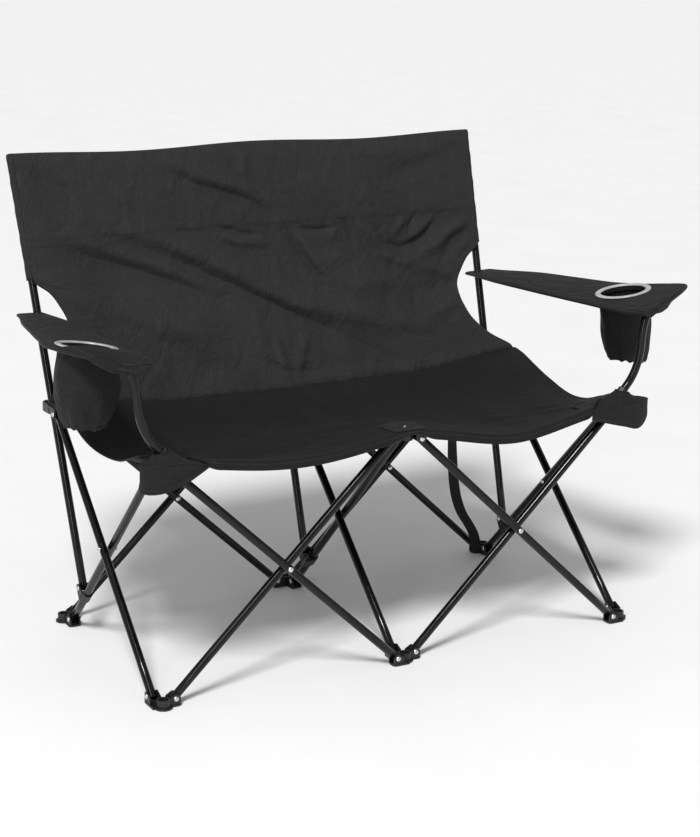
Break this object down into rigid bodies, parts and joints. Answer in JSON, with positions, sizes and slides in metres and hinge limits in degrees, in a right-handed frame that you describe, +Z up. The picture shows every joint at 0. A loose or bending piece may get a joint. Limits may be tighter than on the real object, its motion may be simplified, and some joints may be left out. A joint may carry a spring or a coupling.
{
  "type": "folding camping loveseat",
  "caption": "Folding two-seat camp chair with a scissor frame of black steel tube, a black cloth seat and high back, armrests and cup pouches.",
  "frame": {"origin": "on the ground, below the middle of the whole open chair", "axes": "+X to the chair's own left as seen from the front on the right of the picture, +Y from the front of the seat to the rear, +Z up"},
  "size_m": [1.3656, 0.7166, 0.9369],
  "materials": {
    "frame_steel": "gloss black enamel on round steel tube",
    "black_plastic": "moulded black nylon with a low sheen",
    "rivet_steel": "bright plated steel rivet",
    "cup_ring": "smooth light grey plastic",
    "back_cloth": "coated polyester canvas, charcoal black, sewn with double seams",
    "seat_cloth": "coated polyester canvas, black",
    "trim_cloth": "black polyester cloth, hemmed",
    "webbing": "black woven polypropylene webbing"
  },
  "bodies": {
    "front_centre_foot": {"front_centre_foot": "black_plastic"},
    "front_left_falling_tube": {"front_left_falling_tube": "frame_steel", "front_left_crossing_rivet": "rivet_steel"},
    "front_left_rising_tube": {"front_left_rising_tube": "frame_steel"},
    "front_right_falling_tube": {"front_right_falling_tube": "frame_steel", "front_right_crossing_rivet": "rivet_steel"},
    "front_right_rising_tube": {"front_right_rising_tube": "frame_steel"},
    "rear_left_falling_tube": {"rear_left_falling_tube": "frame_steel", "rear_left_crossing_rivet": "rivet_steel"},
    "rear_left_rising_tube": {"rear_left_rising_tube": "frame_steel"},
    "rear_right_falling_tube": {"rear_right_falling_tube": "frame_steel", "rear_right_crossing_rivet": "rivet_steel"},
    "rear_right_rising_tube": {"rear_right_rising_tube": "frame_steel"},
    "left_side_falling_tube": {"left_side_falling_tube": "frame_steel", "left_side_crossing_rivet": "rivet_steel", "left_post_bracket": "black_plastic"},
    "left_side_rising_tube": {"left_side_rising_tube": "frame_steel"},
    "centre_falling_tube": {"centre_falling_tube": "frame_steel", "centre_crossing_rivet": "rivet_steel", "centre_post_bracket": "black_plastic"},
    "centre_rising_tube": {"centre_rising_tube": "frame_steel"},
    "right_side_falling_tube": {"right_side_falling_tube": "frame_steel", "right_side_crossing_rivet": "rivet_steel", "right_post_bracket": "black_plastic"},
    "right_side_rising_tube": {"right_side_rising_tube": "frame_steel"},
    "front_left_foot": {"front_left_foot": "black_plastic"},
    "rear_left_foot": {"rear_left_foot": "black_plastic"},
    "left_slider": {"left_slider": "black_plastic"},
    "left_post": {"left_post": "frame_steel", "left_post_cap": "black_plastic"},
    "front_left_hub": {"front_left_hub": "black_plastic", "left_arm_tube": "frame_steel", "left_armrest": "trim_cloth", "left_cup_ring": "cup_ring", "left_cup_pouch": "trim_cloth", "front_left_pocket": "trim_cloth"},
    "rear_centre_foot": {"rear_centre_foot": "black_plastic"},
    "centre_slider": {"centre_slider": "black_plastic"},
    "centre_post": {"centre_post": "frame_steel", "centre_post_cap": "black_plastic", "back": "back_cloth"},
    "front_right_foot": {"front_right_foot": "black_plastic"},
    "rear_right_foot": {"rear_right_foot": "black_plastic", "strap": "webbing"},
    "right_slider": {"right_slider": "black_plastic"},
    "right_post": {"right_post": "frame_steel", "right_post_cap": "black_plastic"},
    "front_right_hub": {"front_right_hub": "black_plastic", "right_arm_tube": "frame_steel", "right_armrest": "trim_cloth", "right_cup_ring": "cup_ring", "right_cup_pouch": "trim_cloth", "front_right_pocket": "trim_cloth"},
    "front_centre_hub": {"front_centre_hub": "black_plastic", "seat": "seat_cloth", "seat_patch": "trim_cloth"}
  },
  "joints": [
    {"name": "fold", "type": "hinge", "parent": "front_centre_foot", "child": "front_left_falling_tube", "pos_m": [-0.024, -0.32559, 0.014], "axis": [0, 1, 0], "range_deg": [0, 38.5], "deforming": ["seat", "back", "left_armrest", "right_armrest", "strap"]},
    {"name": "front_left_crossing", "type": "hinge", "parent": "front_left_falling_tube", "child": "front_left_rising_tube", "pos_m": [-0.25, -0.31729, 0.228], "axis": [0, 1, 0], "range_deg": [-77.05, 0]},
    {"name": "front_left_foot_pivot", "type": "hinge", "parent": "front_left_rising_tube", "child": "front_left_foot", "pos_m": [-0.476, -0.30899, 0.014], "axis": [0, 1, 0], "range_deg": [0, 38.55]},
    {"name": "front_centre_hub_pivot", "type": "hinge", "parent": "front_left_rising_tube", "child": "front_centre_hub", "pos_m": [-0.024, -0.30899, 0.442], "axis": [0, 1, 0], "range_deg": [0, 38.55]},
    {"name": "front_left_hub_pivot", "type": "hinge", "parent": "front_left_falling_tube", "child": "front_left_hub", "pos_m": [-0.476, -0.32559, 0.442], "axis": [0, 1, 0], "range_deg": [-38.55, 0]},
    {"name": "front_right_pivot", "type": "hinge", "parent": "front_centre_foot", "child": "front_right_rising_tube", "pos_m": [0.024, -0.30899, 0.014], "axis": [0, 1, 0], "range_deg": [-38.55, 0]},
    {"name": "front_right_crossing", "type": "hinge", "parent": "front_right_rising_tube", "child": "front_right_falling_tube", "pos_m": [0.25, -0.31729, 0.228], "axis": [0, 1, 0], "range_deg": [0, 77.05]},
    {"name": "front_right_foot_pivot", "type": "hinge", "parent": "front_right_falling_tube", "child": "front_right_foot", "pos_m": [0.476, -0.32559, 0.014], "axis": [0, 1, 0], "range_deg": [-38.55, 0]},
    {"name": "front_right_hub_pivot", "type": "hinge", "parent": "front_right_rising_tube", "child": "front_right_hub", "pos_m": [0.476, -0.30899, 0.442], "axis": [0, 1, 0], "range_deg": [0, 38.55]},
    {"name": "left_side_pivot", "type": "hinge", "parent": "front_left_foot", "child": "left_side_rising_tube", "pos_m": [-0.5083, -0.28329, 0.014], "axis": [1, 0, 0], "range_deg": [0, 38.55]},
    {"name": "left_side_crossing", "type": "hinge", "parent": "left_side_rising_tube", "child": "left_side_falling_tube", "pos_m": [-0.5, -0.05729, 0.228], "axis": [1, 0, 0], "range_deg": [-77.05, 0]},
    {"name": "rear_left_slider_pivot", "type": "hinge", "parent": "left_side_rising_tube", "child": "left_slider", "pos_m": [-0.5083, 0.16871, 0.442], "axis": [1, 0, 0], "range_deg": [-38.55, 0]},
    {"name": "rear_left_foot_pivot", "type": "hinge", "parent": "left_side_falling_tube", "child": "rear_left_foot", "pos_m": [-0.4917, 0.16871, 0.014], "axis": [1, 0, 0], "range_deg": [0, 38.55]},
    {"name": "centre_pivot", "type": "hinge", "parent": "front_centre_foot", "child": "centre_rising_tube", "pos_m": [-0.0083, -0.28329, 0.014], "axis": [1, 0, 0], "range_deg": [0, 38.55]},
    {"name": "centre_crossing", "type": "hinge", "parent": "centre_rising_tube", "child": "centre_falling_tube", "pos_m": [0, -0.05729, 0.228], "axis": [1, 0, 0], "range_deg": [-77.05, 0]},
    {"name": "rear_centre_slider_pivot", "type": "hinge", "parent": "centre_rising_tube", "child": "centre_slider", "pos_m": [-0.0083, 0.16871, 0.442], "axis": [1, 0, 0], "range_deg": [-38.55, 0]},
    {"name": "rear_centre_foot_pivot", "type": "hinge", "parent": "centre_falling_tube", "child": "rear_centre_foot", "pos_m": [0.0083, 0.16871, 0.014], "axis": [1, 0, 0], "range_deg": [0, 38.55]},
    {"name": "right_side_pivot", "type": "hinge", "parent": "front_right_foot", "child": "right_side_rising_tube", "pos_m": [0.5083, -0.28329, 0.014], "axis": [1, 0, 0], "range_deg": [0, 38.55]},
    {"name": "right_side_crossing", "type": "hinge", "parent": "right_side_rising_tube", "child": "right_side_falling_tube", "pos_m": [0.5, -0.05729, 0.228], "axis": [1, 0, 0], "range_deg": [-77.05, 0]},
    {"name": "rear_right_slider_pivot", "type": "hinge", "parent": "right_side_rising_tube", "child": "right_slider", "pos_m": [0.5083, 0.16871, 0.442], "axis": [1, 0, 0], "range_deg": [-38.55, 0]},
    {"name": "rear_right_foot_pivot", "type": "hinge", "parent": "right_side_falling_tube", "child": "rear_right_foot", "pos_m": [0.4917, 0.16871, 0.014], "axis": [1, 0, 0], "range_deg": [0, 38.55]},
    {"name": "rear_left_pivot", "type": "hinge", "parent": "rear_left_foot", "child": "rear_left_rising_tube", "pos_m": [-0.476, 0.21101, 0.014], "axis": [0, 1, 0], "range_deg": [-38.55, 0]},
    {"name": "rear_left_crossing", "type": "hinge", "parent": "rear_left_rising_tube", "child": "rear_left_falling_tube", "pos_m": [-0.25, 0.20271, 0.228], "axis": [0, 1, 0], "range_deg": [0, 77.05]},
    {"name": "rear_right_pivot", "type": "hinge", "parent": "rear_centre_foot", "child": "rear_right_rising_tube", "pos_m": [0.024, 0.21101, 0.014], "axis": [0, 1, 0], "range_deg": [-38.55, 0]},
    {"name": "rear_right_crossing", "type": "hinge", "parent": "rear_right_rising_tube", "child": "rear_right_falling_tube", "pos_m": [0.25, 0.20271, 0.228], "axis": [0, 1, 0], "range_deg": [0, 77.05]},
    {"name": "left_post_pivot", "type": "hinge", "parent": "left_side_falling_tube", "child": "left_post", "pos_m": [-0.4917, 0.10481, 0.10068], "axis": [0.9993, 0.0069, 0.0355], "range_deg": [0, 51.23]},
    {"name": "centre_post_pivot", "type": "hinge", "parent": "centre_falling_tube", "child": "centre_post", "pos_m": [0, 0.10481, 0.10068], "axis": [1, 0, 0], "range_deg": [0, 51.25]},
    {"name": "right_post_pivot", "type": "hinge", "parent": "right_side_falling_tube", "child": "right_post", "pos_m": [0.4917, 0.10481, 0.10068], "axis": [0.9993, -0.0069, -0.0355], "range_deg": [0, 51.23]}
  ],
  "couplings": [
    {"joint": "front_left_crossing", "follows": "fold", "ratio": -2},
    {"joint": "front_left_foot_pivot", "follows": "fold", "ratio": 1},
    {"joint": "front_centre_hub_pivot", "follows": "fold", "ratio": 1},
    {"joint": "front_left_hub_pivot", "follows": "fold", "ratio": -1},
    {"joint": "front_right_pivot", "follows": "fold", "ratio": -1},
    {"joint": "front_right_crossing", "follows": "fold", "ratio": 2},
    {"joint": "front_right_foot_pivot", "follows": "fold", "ratio": -1},
    {"joint": "front_right_hub_pivot", "follows": "fold", "ratio": 1},
    {"joint": "left_side_pivot", "follows": "fold", "ratio": 1},
    {"joint": "left_side_crossing", "follows": "fold", "ratio": -2},
    {"joint": "rear_left_slider_pivot", "follows": "fold", "ratio": -1},
    {"joint": "rear_left_foot_pivot", "follows": "fold", "ratio": 1},
    {"joint": "centre_pivot", "follows": "fold", "ratio": 1},
    {"joint": "centre_crossing", "follows": "fold", "ratio": -2},
    {"joint": "rear_centre_slider_pivot", "follows": "fold", "ratio": -1},
    {"joint": "rear_centre_foot_pivot", "follows": "fold", "ratio": 1},
    {"joint": "right_side_pivot", "follows": "fold", "ratio": 1},
    {"joint": "right_side_crossing", "follows": "fold", "ratio": -2},
    {"joint": "rear_right_slider_pivot", "follows": "fold", "ratio": -1},
    {"joint": "rear_right_foot_pivot", "follows": "fold", "ratio": 1},
    {"joint": "rear_left_pivot", "follows": "fold", "ratio": -1},
    {"joint": "rear_left_crossing", "follows": "fold", "ratio": 2},
    {"joint": "rear_right_pivot", "follows": "fold", "ratio": -1},
    {"joint": "rear_right_crossing", "follows": "fold", "ratio": 2},
    {"joint": "left_post_pivot", "follows": "fold", "ratio": 1.3294},
    {"joint": "centre_post_pivot", "follows": "fold", "ratio": 1.3299},
    {"joint": "right_post_pivot", "follows": "fold", "ratio": 1.3294}
  ]
}
